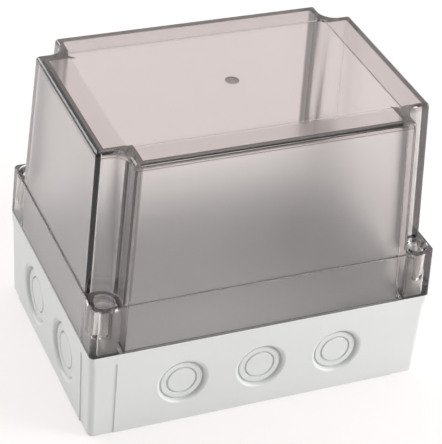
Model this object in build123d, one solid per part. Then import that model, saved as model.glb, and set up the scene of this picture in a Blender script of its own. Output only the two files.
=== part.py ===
from build123d import *
import math
import os

# Polycarbonate enclosure: a grey base with knockouts under a deep smoked cover with notched corners.
# Millimetres. X runs along the long side, Y along the short side, Z up from the underside of the base.

# Overall form
length = 180.0
width = 130.0
base_height = 50.0
collar_height = 27.3
dome_height = 74.7
notch = 14.0

# How far each wall leans in over its height
base_lean = 0.8
collar_lean = 0.9
dome_lean = 3.9
ledge = 0.9

# Walls
wall = 3.6
base_floor = 3.0
dome_roof = 3.0
corner_plate = 3.0

# Roundings
base_corner_radius = 3.0
base_foot_radius = 0.8
collar_corner_radius = 2.5
collar_edge_radius = 0.5
dome_corner_radius = 1.5
dome_edge_radius = 2.2
cavity_corner_radius = 1.0

# Rim band and corner columns of the base
rim_band = 5.6
column_step = 0.5

# Seal: a tongue under the cover enters a groove in the base's rim, with the gasket at its bottom
tongue_width = 1.4
tongue_height = 1.2
groove_clearance = 0.2
gasket_thickness = 1.0
gasket_side_gap = 0.05
gasket_gap = 0.1

# Cover screws in their wells
screw_inset = 7.8
screw_head_radius = 3.5
screw_head_height = 2.6
screw_shank_radius = 2.0
screw_head_rounding = 0.5
screw_tip_chamfer = 0.5
slot_width = 1.2
slot_depth = 1.3
head_clearance = 0.3
shank_clearance = 0.3
thread_clearance = 0.05
well_wall = 1.0
well_foot_height = 9.0
well_sole = 2.4
well_mouth_radius = 5.8
well_foot_radius = 1.2
thread_engagement = 6.5

# Retaining ring on the shank
ring_outer_radius = 3.4
ring_thickness = 1.2
ring_gap_over_post = 1.2
ring_bore_clearance = 0.02

# Threaded inserts in the posts
insert_radius = 2.9
insert_length = 8.0
insert_groove_width = 1.0
insert_groove_depth = 0.35
insert_clearance = 0.02
post_radius = 4.7
post_drop = 0.5
corner_deck = 2.5
insert_well_depth = 12.0

# Knockouts: a sunk disc behind a rounded shoulder, with one break groove along its edge and a second one
# in its face for a smaller gland.
# The radii are those of the holes: 22.5 and 15.2 mm in front, 28.3 and 18.6 mm at the sides.
knockout_depth = 1.8
shoulder_radius = 1.9
knockout_film = 0.8
groove_mouth = 1.2
groove_floor = 0.4
front_radius = 11.25
front_inner_radius = 7.6
front_height = 24.2
front_pitch = 41.4
front_count = 3
side_radius = 14.15
side_inner_radius = 9.3
side_height = 23.1
side_pitch = 46.8
side_count = 2

# Blind sockets under the posts, for the screws of wall lugs
socket_radius = 1.65
socket_depth = 12.0
socket_chamfer = 0.5

# Top of the dome
panel_margin = 1.2
panel_depth = 0.6
gate_radius = 3.5
gate_depth = 0.3

half_x = length / 2
half_y = width / 2
collar_top = base_height + collar_height
dome_top = collar_top + dome_height
dome_foot_inset = collar_lean + ledge
dome_slope = dome_lean / dome_height
base_slope = base_lean / base_height
notch_radius = notch + dome_foot_inset - screw_inset
cell_radius = notch - screw_inset
seal_inset = wall / 2
groove_width = tongue_width + 2 * groove_clearance
groove_depth = tongue_height + gasket_gap + gasket_thickness
well_foot = base_height + well_foot_height
well_floor = well_foot + well_sole
post_top = base_height - post_drop
well_bore_radius = screw_head_radius + head_clearance
well_outer_radius = well_bore_radius + well_wall

# Working values: how far cutters reach past a face, and how edges are picked
overshoot = 1.0
pick_margin = 0.01
tall_share = 0.8
notch_reach = 1.2

corners = [(sx, sy) for sx in (-1, 1) for sy in (-1, 1)]
screw_places = [(sx * (half_x - screw_inset), sy * (half_y - screw_inset)) for sx, sy in corners]


def slope_angle(lean, height):
    """The draft angle of a wall that leans in by lean over height."""
    return math.degrees(math.atan2(lean, height))


def tall_edges(solid):
    """The edges that run nearly the full height of a block."""
    full = solid.bounding_box().size.Z
    return solid.edges().filter_by(lambda edge: edge.bounding_box().size.Z > tall_share * full)


def notch_edges(solid):
    """The upright edges in the inner corners of the notches."""
    within_x = tall_edges(solid).filter_by(lambda edge: abs(edge.center().X) < half_x - notch / 2)
    return within_x.filter_by(lambda edge: abs(edge.center().Y) < half_y - notch / 2)


def leaning_block(sketch, height, lean):
    """Block on a sketch whose walls lean in by lean over its height."""
    return extrude(sketch, amount=height, taper=slope_angle(lean, height))


def rounded(block, radius):
    """The block with its upright edges rounded."""
    return fillet(tall_edges(block), radius)


def hanging(block):
    """The block turned over, so that it hangs from the rim of the base."""
    return Pos(0, 0, base_height) * Rot(180, 0, 0) * block


def notched_sketch(x, y):
    """Rectangle of half sizes x and y with a square notch at each corner."""
    sketch = Rectangle(2 * x, 2 * y)
    for sx, sy in corners:
        sketch -= Pos(sx * (x - notch / 2), sy * (y - notch / 2)) * Rectangle(notch, notch)
    return sketch


def notched_ring(inset, ring_width, height):
    """Ring of the notched outline whose middle line is inset from the outer face."""
    outer = notched_sketch(half_x - inset + ring_width / 2, half_y - inset + ring_width / 2)
    inner = notched_sketch(half_x - inset - ring_width / 2, half_y - inset - ring_width / 2)
    return extrude(outer - inner, amount=height)


def disc(radius, bottom, top):
    """Upright cylinder on the Z axis between two heights."""
    return Pos(0, 0, bottom) * extrude(Circle(radius), amount=top - bottom)


def groove_cutter(radius, mouth, bottom):
    """Ring cutter for a break groove from the depth of its mouth to that of its bottom."""
    profile = Polyline(
        (radius - groove_mouth / 2, mouth - overshoot),
        (radius + groove_mouth / 2, mouth - overshoot),
        (radius + groove_mouth / 2, mouth),
        (radius + groove_floor / 2, bottom),
        (radius - groove_floor / 2, bottom),
        (radius - groove_mouth / 2, mouth),
        close=True,
    )
    return revolve(Plane.XZ * make_face(profile), Axis.Z)


def knockout_cutter(radius, inner_radius):
    """Sunk disc with a rounded shoulder and its two break grooves, along +Z into the wall."""
    foot_radius = radius + groove_mouth / 2
    rise = shoulder_radius - knockout_depth
    mouth_radius = foot_radius + math.sqrt(shoulder_radius**2 - rise**2)
    middle = mouth_radius - shoulder_radius * math.sin(math.radians(45))
    depth_there = shoulder_radius * (1 - math.sin(math.radians(45)))
    shoulder = ThreePointArc((mouth_radius, 0), (middle, depth_there), (foot_radius, knockout_depth))
    rest = Polyline(
        (foot_radius, knockout_depth),
        (0, knockout_depth),
        (0, -overshoot),
        (mouth_radius, -overshoot),
        (mouth_radius, 0),
    )
    disc_cutter = revolve(Plane.XZ * make_face(shoulder + rest), Axis.Z)
    groove_bottom = wall - knockout_film
    edge_groove = groove_cutter(radius, knockout_depth, groove_bottom)
    face_groove = groove_cutter(inner_radius, knockout_depth, groove_bottom)
    return disc_cutter + edge_groove + face_groove


def knockout_row(turn, rim_distance, centre_height, pitch, count, cutter):
    """Cutters for one wall: turn is about Z, rim_distance is from the middle to the wall's top edge."""
    face = rim_distance - base_slope * (base_height - centre_height)
    row = []
    for index in range(count):
        along = (index - (count - 1) / 2) * pitch
        place = Rot(0, 0, turn) * Pos(along, -face, centre_height) * Rot(-90, 0, 0)
        row.append(place * cutter)
    return row


def base_outside():
    """Outer form: panels flush with the rim band, corner columns a step behind them."""
    outline = Rectangle(length, width)
    inner_outline = Rectangle(length - 2 * column_step, width - 2 * column_step)
    full = hanging(rounded(leaning_block(outline, base_height, base_lean), base_corner_radius))
    stepped = hanging(rounded(leaning_block(inner_outline, base_height, base_lean), base_corner_radius))
    column_height = base_height - rim_band
    trims = []
    for sx, sy in corners:
        box = Box(
            2 * notch, 2 * notch, column_height + overshoot,
            align=(Align.CENTER, Align.CENTER, Align.MAX),
        )
        trims.append(Pos(sx * half_x, sy * half_y, column_height) * box - stepped)
    shape = full - trims
    foot = shape.edges().filter_by(lambda edge: edge.bounding_box().max.Z < pick_margin)
    return fillet(foot, base_foot_radius)


def corner_cell(block, sx, sy, bottom, top):
    """Hollow of a corner cell: the inner block between two heights, outside the sealed volume.

    Its inner corner is round about the screw.
    """
    box = Box(2 * notch, 2 * notch, top - bottom, align=(Align.CENTER, Align.CENTER, Align.MIN))
    cell = fillet(notch_edges(Pos(sx * half_x, sy * half_y, bottom) * box & block), cell_radius)
    outer = tall_edges(cell).filter_by(lambda edge: abs(edge.center().X) > half_x - notch / 2)
    outer = outer.filter_by(lambda edge: abs(edge.center().Y) > half_y - notch / 2)
    return fillet(outer, cavity_corner_radius)


def socket_cutter():
    """Blind hole from the underside, with a chamfered mouth."""
    profile = Polyline(
        (0, -overshoot),
        (socket_radius + socket_chamfer + overshoot, -overshoot),
        (socket_radius, socket_chamfer),
        (socket_radius, socket_depth),
        (0, socket_depth),
        close=True,
    )
    return revolve(Plane.XZ * make_face(profile), Axis.Z)


def make_base():
    depth = base_height - base_floor
    cavity = leaning_block(notched_sketch(half_x - wall, half_y - wall), depth, base_slope * depth)
    shell = base_outside() - hanging(rounded(cavity, cavity_corner_radius))
    inside = hanging(leaning_block(Rectangle(length - 2 * wall, width - 2 * wall), base_height, base_lean))
    for sx, sy in corners:
        shell -= corner_cell(inside, sx, sy, 0, post_top - corner_deck)
        shell -= corner_cell(inside, sx, sy, post_top, base_height)
    post = disc(post_radius, 0, post_top)
    insert_seat = disc(insert_radius + insert_clearance, post_top - insert_length, post_top + overshoot)
    screw_room = disc(screw_shank_radius + shank_clearance, post_top - insert_well_depth, post_top)
    for x, y in screw_places:
        shell += Pos(x, y) * post
        shell -= Pos(x, y) * insert_seat
        shell -= Pos(x, y) * screw_room
        shell -= Pos(x, y) * socket_cutter()
    groove = notched_ring(seal_inset, groove_width, groove_depth + overshoot)
    shell -= Pos(0, 0, base_height - groove_depth) * groove
    front = knockout_cutter(front_radius, front_inner_radius)
    side = knockout_cutter(side_radius, side_inner_radius)
    for turn in (0, 180):
        for cut in knockout_row(turn, half_y, front_height, front_pitch, front_count, front):
            shell -= cut
    for turn in (90, 270):
        for cut in knockout_row(turn, half_x, side_height, side_pitch, side_count, side):
            shell -= cut
    return shell


def notch_prism(sx, sy):
    """Cutter for one notch of the dome: a prism that leans in with the walls, its inner corner round."""
    path = Vector(-sx * dome_lean, -sy * dome_lean, dome_height)
    corner = Vector(sx * (half_x - dome_foot_inset), sy * (half_y - dome_foot_inset), 0)
    section = Pos(*corner) * RectangleRounded(2 * notch, 2 * notch, notch_radius)
    return extrude(section, amount=notch_reach * path.length, dir=path)


def is_outer_corner(edge):
    """Whether an upright edge of the dome is where a notch meets a main wall."""
    middle = edge.center()
    return abs(middle.X) > half_x - notch / 2 or abs(middle.Y) > half_y - notch / 2


def cover_outside():
    """Collar with the full outline, and the notched dome on it."""
    collar = leaning_block(Rectangle(length, width), collar_height, collar_lean)
    collar = Pos(0, 0, base_height) * rounded(collar, collar_corner_radius)
    rim = collar.edges().filter_by(lambda edge: edge.bounding_box().min.Z > collar_top - pick_margin)
    collar = fillet(rim, collar_edge_radius)
    outline = Rectangle(2 * (half_x - dome_foot_inset), 2 * (half_y - dome_foot_inset))
    dome = leaning_block(outline, dome_height, dome_lean)
    dome -= [notch_prism(sx, sy) for sx, sy in corners]
    outer = [edge for edge in tall_edges(dome) if is_outer_corner(edge)]
    dome = Pos(0, 0, collar_top) * fillet(outer, dome_corner_radius)
    crown = dome.edges().filter_by(lambda edge: edge.bounding_box().min.Z > dome_top - pick_margin)
    dome = fillet(crown, dome_edge_radius)
    return collar + dome


def well_body():
    """Tube that hangs from the corner plate, with a flared root."""
    root = collar_top - corner_plate
    flare = well_mouth_radius - well_bore_radius
    profile = Polyline(
        (0, well_foot),
        (well_outer_radius, well_foot),
        (well_outer_radius, root - flare),
        (well_outer_radius + flare, root),
        (well_outer_radius + flare, root + corner_plate / 2),
        (0, root + corner_plate / 2),
        close=True,
    )
    body = revolve(Plane.XZ * make_face(profile), Axis.Z)
    foot = body.edges().filter_by(lambda edge: edge.bounding_box().max.Z < well_foot + pick_margin)
    return fillet(foot.filter_by(GeomType.CIRCLE), well_foot_radius)


def well_bore():
    """Room for the screw head, with a mouth that widens to the collar's top, and the shank hole."""
    flare = well_mouth_radius - well_bore_radius
    profile = Polyline(
        (0, well_foot - overshoot),
        (screw_shank_radius + shank_clearance, well_foot - overshoot),
        (screw_shank_radius + shank_clearance, well_floor),
        (well_bore_radius, well_floor),
        (well_bore_radius, collar_top - corner_plate),
        (well_mouth_radius, collar_top - corner_plate + flare),
        (well_mouth_radius, collar_top + overshoot),
        (0, collar_top + overshoot),
        close=True,
    )
    return revolve(Plane.XZ * make_face(profile), Axis.Z)


def make_cover():
    depth = collar_height + dome_height - dome_roof
    cavity = leaning_block(notched_sketch(half_x - wall, half_y - wall), depth, dome_slope * depth)
    shell = cover_outside() - Pos(0, 0, base_height) * rounded(cavity, cavity_corner_radius)
    inside = leaning_block(Rectangle(length - 2 * wall, width - 2 * wall), collar_height, collar_lean)
    for sx, sy in corners:
        shell -= corner_cell(Pos(0, 0, base_height) * inside, sx, sy, base_height, collar_top - corner_plate)
    body = well_body()
    bore = well_bore()
    for x, y in screw_places:
        shell += Pos(x, y) * body
        shell -= Pos(x, y) * bore
    shell += Pos(0, 0, base_height - tongue_height) * notched_ring(seal_inset, tongue_width, tongue_height)
    panel_x = half_x - dome_foot_inset - dome_lean - notch - panel_margin
    panel_y = half_y - dome_foot_inset - dome_lean - notch - panel_margin
    panel = Box(2 * panel_x, 2 * panel_y, 2 * panel_depth)
    shell -= Pos(0, 0, dome_top) * panel
    shell -= disc(gate_radius, dome_top - panel_depth - gate_depth, dome_top)
    return shell


def make_gasket():
    ring = notched_ring(seal_inset, groove_width - 2 * gasket_side_gap, gasket_thickness)
    return Pos(0, 0, base_height - groove_depth) * ring


def screw_tip():
    return post_top - thread_engagement


def make_screw(x, y):
    head = disc(screw_head_radius, well_floor, well_floor + screw_head_height)
    crown = head.edges().filter_by(lambda edge: edge.bounding_box().min.Z > well_floor + pick_margin)
    head = fillet(crown.filter_by(GeomType.CIRCLE), screw_head_rounding)
    slot = Box(2 * screw_head_radius + overshoot, slot_width, 2 * slot_depth)
    head -= Pos(0, 0, well_floor + screw_head_height) * slot
    shank = disc(screw_shank_radius, screw_tip(), well_floor)
    tip = shank.edges().filter_by(lambda edge: edge.bounding_box().max.Z < screw_tip() + pick_margin)
    shank = chamfer(tip.filter_by(GeomType.CIRCLE), screw_tip_chamfer)
    return Pos(x, y) * (head + shank)


def make_ring(x, y):
    bottom = post_top + ring_gap_over_post
    top = bottom + ring_thickness
    ring = disc(ring_outer_radius, bottom, top)
    ring -= disc(screw_shank_radius + ring_bore_clearance, bottom - overshoot, top + overshoot)
    return Pos(x, y) * ring


def make_insert(x, y):
    bottom = post_top - insert_length
    body = disc(insert_radius, bottom, post_top)
    groove_bottom = (bottom + post_top - insert_groove_width) / 2
    groove = disc(insert_radius + overshoot, groove_bottom, groove_bottom + insert_groove_width)
    groove -= disc(insert_radius - insert_groove_depth, bottom, post_top)
    body -= groove
    body -= disc(screw_shank_radius + thread_clearance, bottom - overshoot, post_top + overshoot)
    return Pos(x, y) * body


os.makedirs("parts", exist_ok=True)
export_step(make_base(), "parts/base_shell.step")
export_step(make_cover(), "parts/smoked_cover.step")
export_step(make_gasket(), "parts/cover_gasket.step")
for number, (x, y) in enumerate(screw_places, start=1):
    export_step(make_screw(x, y), f"parts/cover_screw_{number}.step")
    export_step(make_ring(x, y), f"parts/retaining_ring_{number}.step")
    export_step(make_insert(x, y), f"parts/threaded_insert_{number}.step")
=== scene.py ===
import math

import bpy
from mathutils import Matrix, Vector

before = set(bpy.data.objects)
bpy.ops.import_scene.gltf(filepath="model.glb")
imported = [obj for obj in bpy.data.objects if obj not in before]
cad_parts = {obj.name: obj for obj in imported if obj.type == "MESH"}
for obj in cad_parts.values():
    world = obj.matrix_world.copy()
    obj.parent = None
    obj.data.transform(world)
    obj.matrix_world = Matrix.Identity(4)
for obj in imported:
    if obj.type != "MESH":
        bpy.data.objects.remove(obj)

# Polycarbonate enclosure: a light grey knockout base under a deep smoked cover.
# Metres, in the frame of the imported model. Sizes are written in millimetres times MM.
MM = 0.001

bpy.ops.object.select_all(action="DESELECT")
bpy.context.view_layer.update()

# The image is 442 x 444, so its long side is the height
IMAGE_LONG_SIDE = 444.0
SENSOR = 36.0

# Camera, from the corners and edges of the enclosure in the photograph
AZIMUTH = math.radians(-25.15)
ELEVATION = math.radians(34.87)
ROLL = math.radians(5.38)
DISTANCE = 899.0 * MM
TARGET = Vector((1.2, 0.0, 67.7)) * MM
FOCAL_PIXELS = 1769.0

# Lamps: name, place in metres, diameter in metres and watts. They point at the middle of the enclosure.
MIDDLE = Vector((0.0, 0.0, 70.0)) * MM
LAMPS = [
    ("softbox_right", Vector((0.78, -0.52, 0.5)), 0.5, 7.0),
    ("softbox_left", Vector((-0.8, 0.9, 0.7)), 0.8, 6.5),
    ("softbox_top", Vector((0.2, 0.2, 1.5)), 1.0, 4.0),
]

# The brighter side of the surroundings, and their strength there and opposite
BRIGHT_SIDE = (0.64, 0.77, 0.0)
BRIGHT_LEVEL = 1.0
DIM_LEVEL = 0.27

# Floor: its size, the strength of its glow, and the share that the glow has in what is seen of it
FLOOR_SIZE = 12.0
FLOOR_GLOW = 0.985
GLOW_SHARE = 0.6

# Cover: where it stands on the base, the lean of its walls, and half sizes of the hollow there, of the
# corners that the notches leave in it and of the clear window in the roof
SPLIT = 50.0 * MM
WALL_SLOPE = 3.9 / 74.7
NOTCH = 14.0 * MM
HOLLOW = (86.4 * MM, 61.4 * MM)
NOTCH_CORNER = (HOLLOW[0] - NOTCH, HOLLOW[1] - NOTCH)
WINDOW = (69.1 * MM, 44.1 * MM)

# Levels on the cover, and how closely a face has to lie at one
WINDOW_LEVEL = 148.4 * MM
ROOF_UNDERSIDE = 149.0 * MM
DOME_FOOT = 78.0 * MM
LEVEL_PLAY = 0.1 * MM

# Roughness of the cover's faces
POLISHED = 0.03
SLANTED = 0.05
FROST = 0.42
CELL_HAZE = 0.3
GATE_ROUGHNESS = 0.6
ROOF_FROST_SHARE = 0.4

# Where inner faces are frosted: up to this far into the wall and up to this level, and round the corner cells
# as far as this inwards. Then the middle and half width of the faces of the notches' walls.
FROST_DEPTH = 1.6 * MM
FROST_TOP = 150.0 * MM
CELL_TOP = 74.0 * MM
CELL_DEPTH = 10.6 * MM
NOTCH_FROST = (0.3 * MM, 0.8 * MM)

# Slant (Layer Weight's Facing) between which near walls go from frost to polish, and round which far ones are
# clear, as middle and half width
FROST_FADES = (0.2, 0.3)
CLEAR_SLANT = (0.64, 0.08)

# Painted shade lines in the leaning walls of a notch: middle and half width along X, the same along Y, and
# darkness.
# Then the opacity that a darkness of 1 would have.
NOTCH_PAINTED_SHADE_LINES = [
    (NOTCH_CORNER[0] + 2.0 * MM, 3.0 * MM, HOLLOW[1] - 2.6 * MM, 4.4 * MM, 0.5),
    (NOTCH_CORNER[0] + 2.0 * MM, 3.0 * MM, HOLLOW[1] - 5.8 * MM, 1.2 * MM, 0.9),
    (NOTCH_CORNER[0] + 3.0 * MM, 0.8 * MM, HOLLOW[1] + 4.2 * MM, 2.0 * MM, 0.9),
]
PAINTED_LINE_OPACITY = 0.7

# Painted shade: a dark band under the near edges of the roof, and dark ends of the ribs in the collar
BAND_WIDTH = 2.0 * MM
RIB_END = (NOTCH_CORNER[0] + 1.8 * MM, 1.4 * MM)
RIB_FACE = 63.8 * MM
RIB_TOP = 77.0 * MM
RIB_PAINTED_SHADE = 0.6

# Gate mark on the roof
GATE_RADIUS = 3.5 * MM
GATE_LEVEL = 150.6 * MM

# Kind of the nodes that work zones out
MATH = "ShaderNodeMath"


def linear(hex_colour):
    """Linear RGBA of an sRGB colour written as six hex digits."""
    channels = []
    for start in (0, 2, 4):
        value = int(hex_colour[start:start + 2], 16) / 255
        channels.append(value / 12.92 if value <= 0.04045 else ((value + 0.055) / 1.055) ** 2.4)
    return (*channels, 1.0)


def add(tree, kind, inputs=None, **settings):
    """Adds a node. An input takes a value, another node's output, or a node, whose first output is meant."""
    made = tree.nodes.new(kind)
    for name, value in settings.items():
        setattr(made, name, value)
    for socket, value in (inputs or {}).items():
        if isinstance(value, bpy.types.Node):
            value = value.outputs[0]
        if isinstance(value, bpy.types.NodeSocket):
            tree.links.new(value, made.inputs[socket])
        else:
            made.inputs[socket].default_value = value
    return made


def new_material(name):
    """Empty node material and its tree."""
    material = bpy.data.materials.new(name)
    material.use_nodes = True
    material.node_tree.nodes.clear()
    return material, material.node_tree


def past_outline(tree, place, outline, operation):
    """How far a place lies past half sizes in X and Y: the larger of the two, or the smaller for MINIMUM."""
    past_x = add(tree, MATH, {0: place[0], 1: outline[0]}, operation="SUBTRACT")
    past_y = add(tree, MATH, {0: place[1], 1: outline[1]}, operation="SUBTRACT")
    return add(tree, MATH, {0: past_x, 1: past_y}, operation=operation)


def cover_distances(tree, place):
    """Where a place on the cover lies, in distances that mostly have the lean of the walls taken off."""
    axes = add(tree, "ShaderNodeSeparateXYZ", {"Vector": place})
    level = axes.outputs["Z"]
    lean = add(tree, MATH, {0: level, 1: WALL_SLOPE, 2: -WALL_SLOPE * SPLIT}, operation="MULTIPLY_ADD")
    across = [add(tree, MATH, {0: axes.outputs[axis]}, operation="ABSOLUTE") for axis in "XY"]
    upright = [add(tree, MATH, {0: lean, 1: distance}, operation="ADD") for distance in across]
    # the far walls are those towards +X and +Y, the near ones those towards -X and -Y
    far_way = [add(tree, MATH, {0: lean, 1: axes.outputs[axis]}, operation="ADD") for axis in "XY"]
    near_way = [add(tree, MATH, {0: lean, 1: axes.outputs[axis]}, operation="SUBTRACT") for axis in "XY"]
    past_far = past_outline(tree, far_way, HOLLOW, "MAXIMUM")
    past_near = past_outline(tree, near_way, HOLLOW, "MAXIMUM")
    return {
        "level": level,
        "across": across,
        "upright": upright,
        "past_near": past_near,
        "past_wall": add(tree, MATH, {0: past_far, 1: past_near}, operation="MAXIMUM"),
        "past_notch": past_outline(tree, upright, NOTCH_CORNER, "MINIMUM"),
        "past_window": past_outline(tree, across, WINDOW, "MAXIMUM"),
        "far": add(tree, MATH, {0: past_far, 1: past_near}, operation="GREATER_THAN"),
    }


def texture_zones(tree, at):
    """Zones of the cover's texture by name, each 1 on its faces and 0 elsewhere."""
    level = at["level"]

    # roof, and its margin round the window
    roof = add(tree, MATH, {0: level, 1: WINDOW_LEVEL}, operation="GREATER_THAN")
    off_window = add(tree, MATH, {0: at["past_window"], 1: 0.0}, operation="GREATER_THAN")

    # inside of the hollow, all but the window
    past_hollow = add(tree, MATH, {0: at["past_wall"], 1: at["past_notch"]}, operation="MAXIMUM")
    within = add(tree, MATH, {0: past_hollow, 1: FROST_DEPTH}, operation="LESS_THAN")
    below_top = add(tree, MATH, {0: level, 1: FROST_TOP}, operation="LESS_THAN")
    inner_face = add(tree, MATH, {0: within, 1: below_top}, operation="MULTIPLY")
    below_roof = add(tree, MATH, {0: level, 1: WINDOW_LEVEL}, operation="LESS_THAN")
    not_window = add(tree, MATH, {0: below_roof, 1: off_window}, operation="MAXIMUM")
    hollow_face = add(tree, MATH, {0: inner_face, 1: not_window}, operation="MULTIPLY")

    # walls of the collar round the corner cells, and the wells in them
    cell_middle = (FROST_DEPTH - CELL_DEPTH) / 2
    cell_reach = (FROST_DEPTH + CELL_DEPTH) / 2
    near_cell = add(tree, MATH, {0: at["past_wall"], 1: cell_middle, 2: cell_reach}, operation="COMPARE")
    below_cell_top = add(tree, MATH, {0: level, 1: CELL_TOP}, operation="LESS_THAN")
    cell = add(tree, MATH, {0: near_cell, 1: below_cell_top}, operation="MULTIPLY")
    textured = add(tree, MATH, {0: hollow_face, 1: cell}, operation="MAXIMUM")

    # inner faces of the notches' walls
    notch_middle, notch_reach = NOTCH_FROST
    notch_face = add(tree, MATH, {0: at["past_notch"], 1: notch_middle, 2: notch_reach}, operation="COMPARE")

    # tongue that stands on the gasket
    tongue = add(tree, MATH, {0: level, 1: SPLIT - LEVEL_PLAY}, operation="LESS_THAN")

    # ground spot where the gate was cut off
    flat = add(tree, "ShaderNodeCombineXYZ", {"X": at["across"][0], "Y": at["across"][1]})
    radius = add(tree, "ShaderNodeVectorMath", {0: flat}, operation="LENGTH").outputs["Value"]
    near_gate = add(tree, MATH, {0: radius, 1: GATE_RADIUS}, operation="LESS_THAN")
    on_top = add(tree, MATH, {0: level, 1: GATE_LEVEL}, operation="GREATER_THAN")
    gate = add(tree, MATH, {0: near_gate, 1: on_top}, operation="MULTIPLY")

    return {
        "roof": roof, "off_window": off_window, "textured": textured, "cell": cell, "notch_face": notch_face,
        "tongue": tongue, "gate": gate,
    }


def painted_shade_zones(tree, at):
    """Painted shade: darkness of the lines in the notches, and of all painted dark places together, from 0 to
    1.
    """
    level = at["level"]
    across = at["across"]
    upright = at["upright"]

    # painted shade under the near edges of the roof, where the rounded inner corner turns the light away
    near = add(tree, MATH, {0: 1.0, 1: at["far"]}, operation="SUBTRACT")
    past_near_edge = add(tree, MATH, {0: at["past_near"], 1: at["past_notch"]}, operation="MAXIMUM")
    along_edge = add(tree, MATH, {0: past_near_edge, 1: -BAND_WIDTH}, operation="GREATER_THAN")
    underside = add(tree, MATH, {0: level, 1: ROOF_UNDERSIDE, 2: LEVEL_PLAY}, operation="COMPARE")
    near_underside = add(tree, MATH, {0: underside, 1: near}, operation="MULTIPLY")
    under_edge_painted_shade = add(tree, MATH, {0: along_edge, 1: near_underside}, operation="MULTIPLY")

    # painted shade in the thick parts of a notch's walls, where they turn
    dome_middle = (ROOF_UNDERSIDE + DOME_FOOT) / 2
    dome_reach = (ROOF_UNDERSIDE - DOME_FOOT) / 2
    in_dome = add(tree, MATH, {0: level, 1: dome_middle, 2: dome_reach}, operation="COMPARE")
    darkest = 0.0
    for x, reach_x, y, reach_y, darkness in NOTCH_PAINTED_SHADE_LINES:
        in_x = add(tree, MATH, {0: upright[0], 1: x, 2: reach_x}, operation="COMPARE")
        in_y = add(tree, MATH, {0: upright[1], 1: y, 2: reach_y}, operation="COMPARE")
        both = add(tree, MATH, {0: in_x, 1: in_y}, operation="MULTIPLY")
        line = add(tree, MATH, {0: both, 1: darkness}, operation="MULTIPLY")
        darkest = add(tree, MATH, {0: line, 1: darkest}, operation="MAXIMUM")
    notch_painted_shade = add(tree, MATH, {0: darkest, 1: in_dome}, operation="MULTIPLY")

    # and painted shade at the ribs of the collar, met end-on where they join its front and back
    rib_width = add(tree, MATH, {0: across[0], 1: RIB_END[0], 2: RIB_END[1]}, operation="COMPARE")
    rib_face = add(tree, MATH, {0: across[1], 1: RIB_FACE}, operation="GREATER_THAN")
    rib_height = add(tree, MATH, {0: level, 1: RIB_TOP}, operation="LESS_THAN")
    rib_end = add(tree, MATH, {0: rib_face, 1: rib_height}, operation="MULTIPLY")
    rib = add(tree, MATH, {0: rib_width, 1: rib_end}, operation="MULTIPLY")
    rib_painted_shade = add(tree, MATH, {0: rib, 1: RIB_PAINTED_SHADE}, operation="MULTIPLY")
    edge_or_line = add(tree, MATH, {0: under_edge_painted_shade, 1: notch_painted_shade}, operation="MAXIMUM")
    dark = add(tree, MATH, {0: edge_or_line, 1: rib_painted_shade}, operation="MAXIMUM")
    return {"notch_painted_shade": notch_painted_shade, "dark": dark}


def cover_roughness(tree, zones, far):
    """Roughness of the cover: frost on the inside that turns to a mirror where it is met at a slant."""
    slant = add(tree, "ShaderNodeLayerWeight", {"Blend": 0.5}).outputs["Facing"]
    # near walls lose their frost at any slant, and far ones at some
    fade_start, fade_end = FROST_FADES
    near_frost = add(tree, "ShaderNodeMapRange", {
        "Value": slant, "From Min": fade_start, "From Max": fade_end, "To Min": FROST, "To Max": SLANTED,
    })
    clear_middle, clear_reach = CLEAR_SLANT
    clear = add(tree, MATH, {0: slant, 1: clear_middle, 2: clear_reach}, operation="COMPARE")
    not_clear = add(tree, MATH, {0: 1.0, 1: clear}, operation="SUBTRACT")
    far_hazy = add(tree, MATH, {0: far, 1: not_clear}, operation="MULTIPLY")
    far_frost = add(tree, MATH, {0: far_hazy, 1: FROST}, operation="MULTIPLY")
    notch_frost = add(tree, MATH, {0: zones["notch_face"], 1: FROST}, operation="MULTIPLY")
    wall_frost = add(tree, MATH, {0: near_frost, 1: far_frost}, operation="MAXIMUM")
    frost = add(tree, MATH, {0: wall_frost, 1: notch_frost}, operation="MAXIMUM")
    # the roof's margin is only lightly textured
    share = add(tree, MATH, {0: zones["roof"], 1: ROOF_FROST_SHARE - 1.0, 2: 1.0}, operation="MULTIPLY_ADD")
    texture = add(tree, MATH, {0: zones["textured"], 1: share}, operation="MULTIPLY")
    rough = add(tree, MATH, {0: texture, 1: frost}, operation="MULTIPLY")
    for zone, roughness in (("cell", CELL_HAZE), ("tongue", FROST), ("gate", GATE_ROUGHNESS)):
        matt = add(tree, MATH, {0: zones[zone], 1: roughness}, operation="MULTIPLY")
        rough = add(tree, MATH, {0: rough, 1: matt}, operation="MAXIMUM")
    return add(tree, MATH, {0: rough, 1: POLISHED}, operation="MAXIMUM")


def cover_tint(tree, zones):
    """Tint of the cover's faces: window, margin and walls let different light through, and lines of painted
    shade are dark.
    """
    tint = linear("FFFDFD")
    roof_tint = add(tree, "ShaderNodeMix", {
        "Factor": zones["off_window"], "A": linear("E2DBDA"), "B": linear("DAD1D0"),
    }, data_type="RGBA").outputs["Result"]
    # the dark zones get a near black tint: painted shade
    for zone, zone_tint in (("roof", roof_tint), ("dark", linear("160D0A")), ("gate", linear("B4AEAC"))):
        tint = add(tree, "ShaderNodeMix", {
            "Factor": zones[zone], "A": tint, "B": zone_tint,
        }, data_type="RGBA").outputs["Result"]
    return tint


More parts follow.
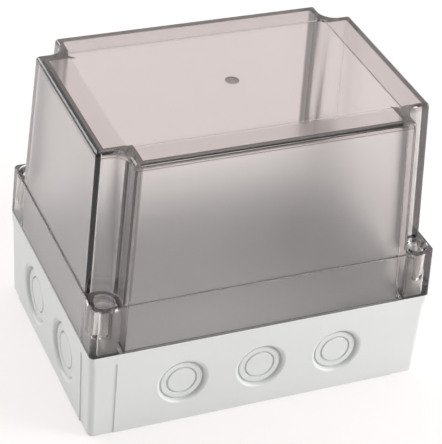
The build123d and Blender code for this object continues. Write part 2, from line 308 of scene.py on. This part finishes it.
def smoked_polycarbonate():
    """Injection-moulded smoked polycarbonate: polished outside, frosted inside but for a window in the roof.

    What lies behind a wall softens with its distance, and the window shows the inside of the dome clearly.
    The smoke deepens where the eye looks along a wall, and dark lines at the near edges of the roof, in the
    notches' walls and at the ribs' ends are painted shade.
    """
    material, tree = new_material("polycarbonate_smoked_polished")
    place = add(tree, "ShaderNodeTexCoord").outputs["Object"]
    at = cover_distances(tree, place)
    zones = texture_zones(tree, at) | painted_shade_zones(tree, at)
    # slow waves of the moulded sheet, about 30 mm apart
    wave = add(tree, "ShaderNodeTexNoise", {"Vector": place, "Scale": 1 / (30 * MM), "Detail": 1.0})
    bump = add(tree, "ShaderNodeBump", {"Strength": 0.05, "Distance": 0.3 * MM, "Height": wave})
    # the painted shade lines in the notches also let less light through, as a dark sheet
    clarity = add(tree, MATH, {0: zones["notch_painted_shade"], 1: -PAINTED_LINE_OPACITY, 2: 1.0}, operation="MULTIPLY_ADD")
    shader = add(tree, "ShaderNodeBsdfPrincipled", {
        "Base Color": cover_tint(tree, zones),
        "Roughness": cover_roughness(tree, zones, at["far"]),
        "IOR": 1.585,
        "Transmission Weight": clarity,
        "Normal": bump,
    })
    absorb = add(tree, "ShaderNodeVolumeAbsorption", {"Color": linear("BBABA8"), "Density": 27.0})
    add(tree, "ShaderNodeOutputMaterial", {"Surface": shader, "Volume": absorb})
    return material


def grey_polycarbonate():
    """Injection-moulded light grey polycarbonate with a fine eroded texture: satin, slightly greenish."""
    material, tree = new_material("polycarbonate_light_grey_satin")
    place = add(tree, "ShaderNodeTexCoord").outputs["Object"]
    # clouds of slightly different tone, about 40 mm across
    cloud = add(tree, "ShaderNodeTexNoise", {"Vector": place, "Scale": 1 / (40 * MM), "Detail": 3.0})
    tone = add(tree, "ShaderNodeMix", {
        "Factor": cloud, "A": linear("D0D3D2"), "B": linear("D6D9D8"),
    }, data_type="RGBA").outputs["Result"]
    # grain of the eroded mould, drawn at 0.5 mm so that it shows
    grain = add(tree, "ShaderNodeTexNoise", {"Vector": place, "Scale": 1 / (0.5 * MM), "Detail": 2.0})
    bump = add(tree, "ShaderNodeBump", {"Strength": 0.12, "Distance": 0.02 * MM, "Height": grain})
    rough = add(tree, "ShaderNodeMapRange", {"Value": grain, "To Min": 0.42, "To Max": 0.52})
    shader = add(tree, "ShaderNodeBsdfPrincipled", {
        "Base Color": tone, "Roughness": rough, "IOR": 1.585, "Normal": bump,
    })
    add(tree, "ShaderNodeOutputMaterial", {"Surface": shader})
    return material


def foamed_polyurethane():
    """Foamed-in polyurethane gasket: matt mid grey with fine open cells."""
    material, tree = new_material("polyurethane_foamed_grey")
    place = add(tree, "ShaderNodeTexCoord").outputs["Object"]
    # cells of 0.4 mm
    cells = add(tree, "ShaderNodeTexVoronoi", {"Vector": place, "Scale": 1 / (0.4 * MM)})
    tone = add(tree, "ShaderNodeMix", {
        "Factor": cells, "A": linear("8E8E8B"), "B": linear("A6A6A2"),
    }, data_type="RGBA").outputs["Result"]
    bump = add(tree, "ShaderNodeBump", {"Strength": 0.4, "Distance": 0.05 * MM, "Height": cells})
    shader = add(tree, "ShaderNodeBsdfPrincipled", {"Base Color": tone, "Roughness": 0.9, "Normal": bump})
    add(tree, "ShaderNodeOutputMaterial", {"Surface": shader})
    return material


def moulded_polyamide():
    """Glass-filled polyamide screw: natural light grey, slightly mottled, low sheen."""
    material, tree = new_material("polyamide_natural_moulded")
    place = add(tree, "ShaderNodeTexCoord").outputs["Object"]
    # mottle of the glass fibres, 1.5 mm across
    mottle = add(tree, "ShaderNodeTexNoise", {"Vector": place, "Scale": 1 / (1.5 * MM), "Detail": 4.0})
    tone = add(tree, "ShaderNodeMix", {
        "Factor": mottle, "A": linear("C4C4BE"), "B": linear("D2D2CC"),
    }, data_type="RGBA").outputs["Result"]
    bump = add(tree, "ShaderNodeBump", {"Strength": 0.2, "Distance": 0.02 * MM, "Height": mottle})
    shader = add(tree, "ShaderNodeBsdfPrincipled", {
        "Base Color": tone, "Roughness": 0.5, "IOR": 1.53, "Normal": bump,
    })
    add(tree, "ShaderNodeOutputMaterial", {"Surface": shader})
    return material


def ring_rubber():
    """Moulded elastomer ring: matt grey with a faint bloom."""
    material, tree = new_material("elastomer_grey_matt")
    place = add(tree, "ShaderNodeTexCoord").outputs["Object"]
    # bloom in patches of 1 mm
    bloom = add(tree, "ShaderNodeTexNoise", {"Vector": place, "Scale": 1 / (1.0 * MM), "Detail": 3.0})
    tone = add(tree, "ShaderNodeMix", {
        "Factor": bloom, "A": linear("A3A3A0"), "B": linear("B2B2AE"),
    }, data_type="RGBA").outputs["Result"]
    shader = add(tree, "ShaderNodeBsdfPrincipled", {"Base Color": tone, "Roughness": 0.8})
    add(tree, "ShaderNodeOutputMaterial", {"Surface": shader})
    return material


def turned_brass():
    """Turned brass insert: fine circular tool marks round its axis."""
    material, tree = new_material("brass_turned")
    place = add(tree, "ShaderNodeTexCoord").outputs["Object"]
    # tool marks every 0.2 mm along the axis
    marks = add(tree, "ShaderNodeTexWave", {
        "Vector": place, "Scale": 1 / (0.2 * MM) / (2 * math.pi), "Distortion": 0.4,
    }, bands_direction="Z").outputs["Fac"]
    rough = add(tree, "ShaderNodeMapRange", {"Value": marks, "To Min": 0.22, "To Max": 0.34})
    shader = add(tree, "ShaderNodeBsdfPrincipled", {
        "Base Color": linear("D9B265"), "Metallic": 1.0, "Roughness": rough,
    })
    add(tree, "ShaderNodeOutputMaterial", {"Surface": shader})
    return material


def dress(prefix, material):
    """Gives a material to every CAD node whose name starts with the prefix."""
    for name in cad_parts:
        if name.startswith(prefix):
            piece = bpy.data.objects[name]
            piece.data.materials.clear()
            piece.data.materials.append(material)


def make_floor():
    """Pale floor that keeps the shadow and is seen as near white."""
    bpy.ops.mesh.primitive_plane_add(size=FLOOR_SIZE, location=(0, 0, 0))
    floor = bpy.context.object
    floor.name = "studio_floor"
    material, tree = new_material("paper_pale_matt")
    path = add(tree, "ShaderNodeLightPath")
    seen = path.outputs["Is Camera Ray"]
    for ray in ("Is Glossy Ray", "Is Transmission Ray"):
        seen = add(tree, MATH, {0: seen, 1: path.outputs[ray]}, operation="MAXIMUM")
    share = add(tree, MATH, {0: seen, 1: GLOW_SHARE}, operation="MULTIPLY")
    paper = add(tree, "ShaderNodeBsdfDiffuse", {"Color": linear("F0EDEC")})
    glow = add(tree, "ShaderNodeEmission", {"Color": linear("FFFCFB"), "Strength": FLOOR_GLOW})
    mixed = add(tree, "ShaderNodeMixShader", {0: share, 1: paper, 2: glow})
    add(tree, "ShaderNodeOutputMaterial", {"Surface": mixed})
    floor.data.materials.append(material)


def make_world():
    """Surroundings that are white behind and to the right, and dim on the camera's side."""
    world = bpy.data.worlds.new("studio_world")
    bpy.context.scene.world = world
    world.use_nodes = True
    tree = world.node_tree
    tree.nodes.clear()
    direction = add(tree, "ShaderNodeTexCoord").outputs["Generated"]
    side = add(tree, "ShaderNodeVectorMath", {0: direction, 1: BRIGHT_SIDE}, operation="DOT_PRODUCT")
    strength = add(tree, "ShaderNodeMapRange", {
        "Value": side.outputs["Value"], "From Min": -1.0, "From Max": 0.2,
        "To Min": DIM_LEVEL, "To Max": BRIGHT_LEVEL,
    })
    sky = add(tree, "ShaderNodeBackground", {"Color": linear("FFFDFC"), "Strength": strength})
    add(tree, "ShaderNodeOutputWorld", {"Surface": sky})


def make_lamp(name, place, size, watts):
    """Large soft lamp that points at the middle of the enclosure."""
    data = bpy.data.lights.new(name, "AREA")
    data.shape = "DISK"
    data.size = size
    data.energy = watts
    lamp = bpy.data.objects.new(name, data)
    bpy.context.collection.objects.link(lamp)
    lamp.location = place
    lamp.rotation_mode = "QUATERNION"
    lamp.rotation_quaternion = (MIDDLE - place).to_track_quat("-Z", "Y")


def make_camera():
    """Camera at the photograph's angle, rolled about its own axis."""
    back = Vector((
        math.sin(AZIMUTH) * math.cos(ELEVATION),
        -math.cos(AZIMUTH) * math.cos(ELEVATION),
        math.sin(ELEVATION),
    ))
    right = (-back).cross(Vector((0, 0, 1))).normalized()
    up = right.cross(-back)
    turned_right = math.cos(ROLL) * right + math.sin(ROLL) * up
    turned_up = -math.sin(ROLL) * right + math.cos(ROLL) * up
    data = bpy.data.cameras.new("camera")
    data.sensor_fit = "AUTO"
    data.sensor_width = SENSOR
    data.lens = FOCAL_PIXELS * SENSOR / IMAGE_LONG_SIDE
    camera = bpy.data.objects.new("camera", data)
    bpy.context.collection.objects.link(camera)
    turn = Matrix((turned_right, turned_up, back)).transposed()
    camera.matrix_world = Matrix.Translation(TARGET + back * DISTANCE) @ turn.to_4x4()
    bpy.context.scene.camera = camera


dress("smoked_cover", smoked_polycarbonate())
dress("base_shell", grey_polycarbonate())
dress("cover_gasket", foamed_polyurethane())
dress("cover_screw", moulded_polyamide())
dress("retaining_ring", ring_rubber())
dress("threaded_insert", turned_brass())

make_floor()
make_world()
for lamp in LAMPS:
    make_lamp(*lamp)
make_camera()

bpy.context.scene.view_settings.view_transform = "Standard"
